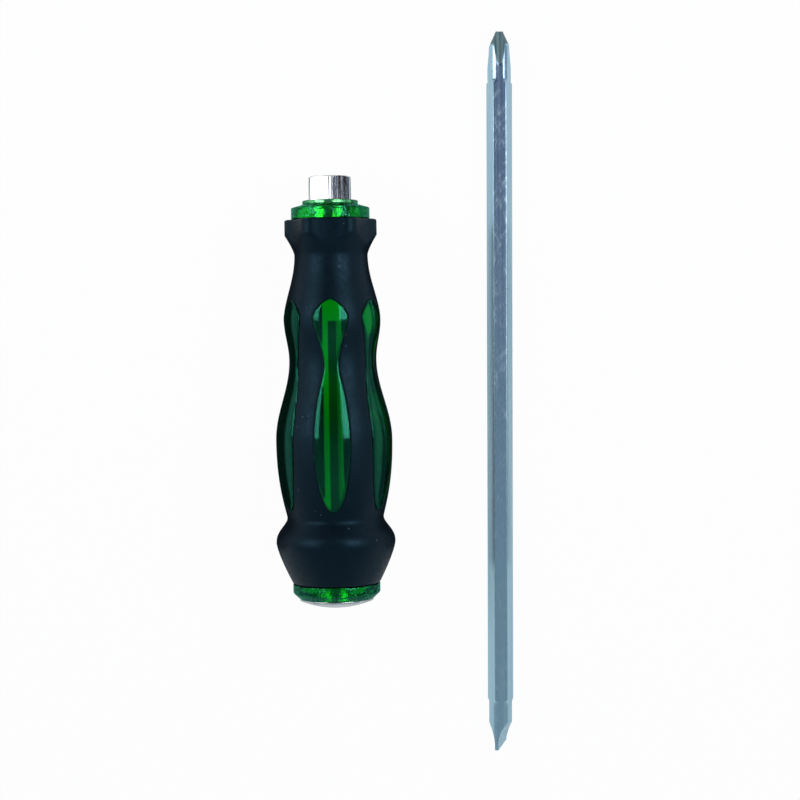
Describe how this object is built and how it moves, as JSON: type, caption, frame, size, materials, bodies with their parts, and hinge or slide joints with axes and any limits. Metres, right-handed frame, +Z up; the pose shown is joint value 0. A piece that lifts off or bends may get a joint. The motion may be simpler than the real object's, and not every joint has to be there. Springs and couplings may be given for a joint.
{
  "type": "strike-through screwdriver",
  "caption": "Reversible two-way screwdriver laid apart: clear green handle with black rubber grip, steel strike cap and hex socket, beside a double-ended hexagon blade.",
  "frame": {"origin": "middle of the pair's outline, on the surface that handle and blade lie on", "axes": "+Y along the handle's axis from the strike cap to the nose, +X from the handle to the blade, +Z up"},
  "size_m": [0.0646, 0.1936, 0.0309],
  "materials": {
    "clear_green": "clear tinted moulding, polished",
    "black_rubber": "soft satin overmould",
    "bright_steel": "bright plated",
    "inner_steel": "drawn, oiled",
    "blade_steel": "satin plated bar"
  },
  "bodies": {
    "handle": {"handle_core": "clear_green", "rubber_grip": "black_rubber", "hex_socket": "bright_steel", "detent_spring": "inner_steel", "strike_bar": "inner_steel", "strike_cap": "bright_steel"},
    "detent": {"detent_ball": "inner_steel"},
    "blade": {"blade": "blade_steel"}
  },
  "joints": [
    {"name": "blade_slide", "type": "slide", "parent": "handle", "child": "blade", "axis": [-0.0122, -0.9999, 0], "range_m": [0, 0.0377]},
    {"name": "detent_press", "type": "slide", "parent": "handle", "child": "detent", "axis": [0, 0, 1], "range_m": [0, 0.0004], "stiffness_N_per_m": 1500, "deforming": ["detent_spring"]}
  ]
}
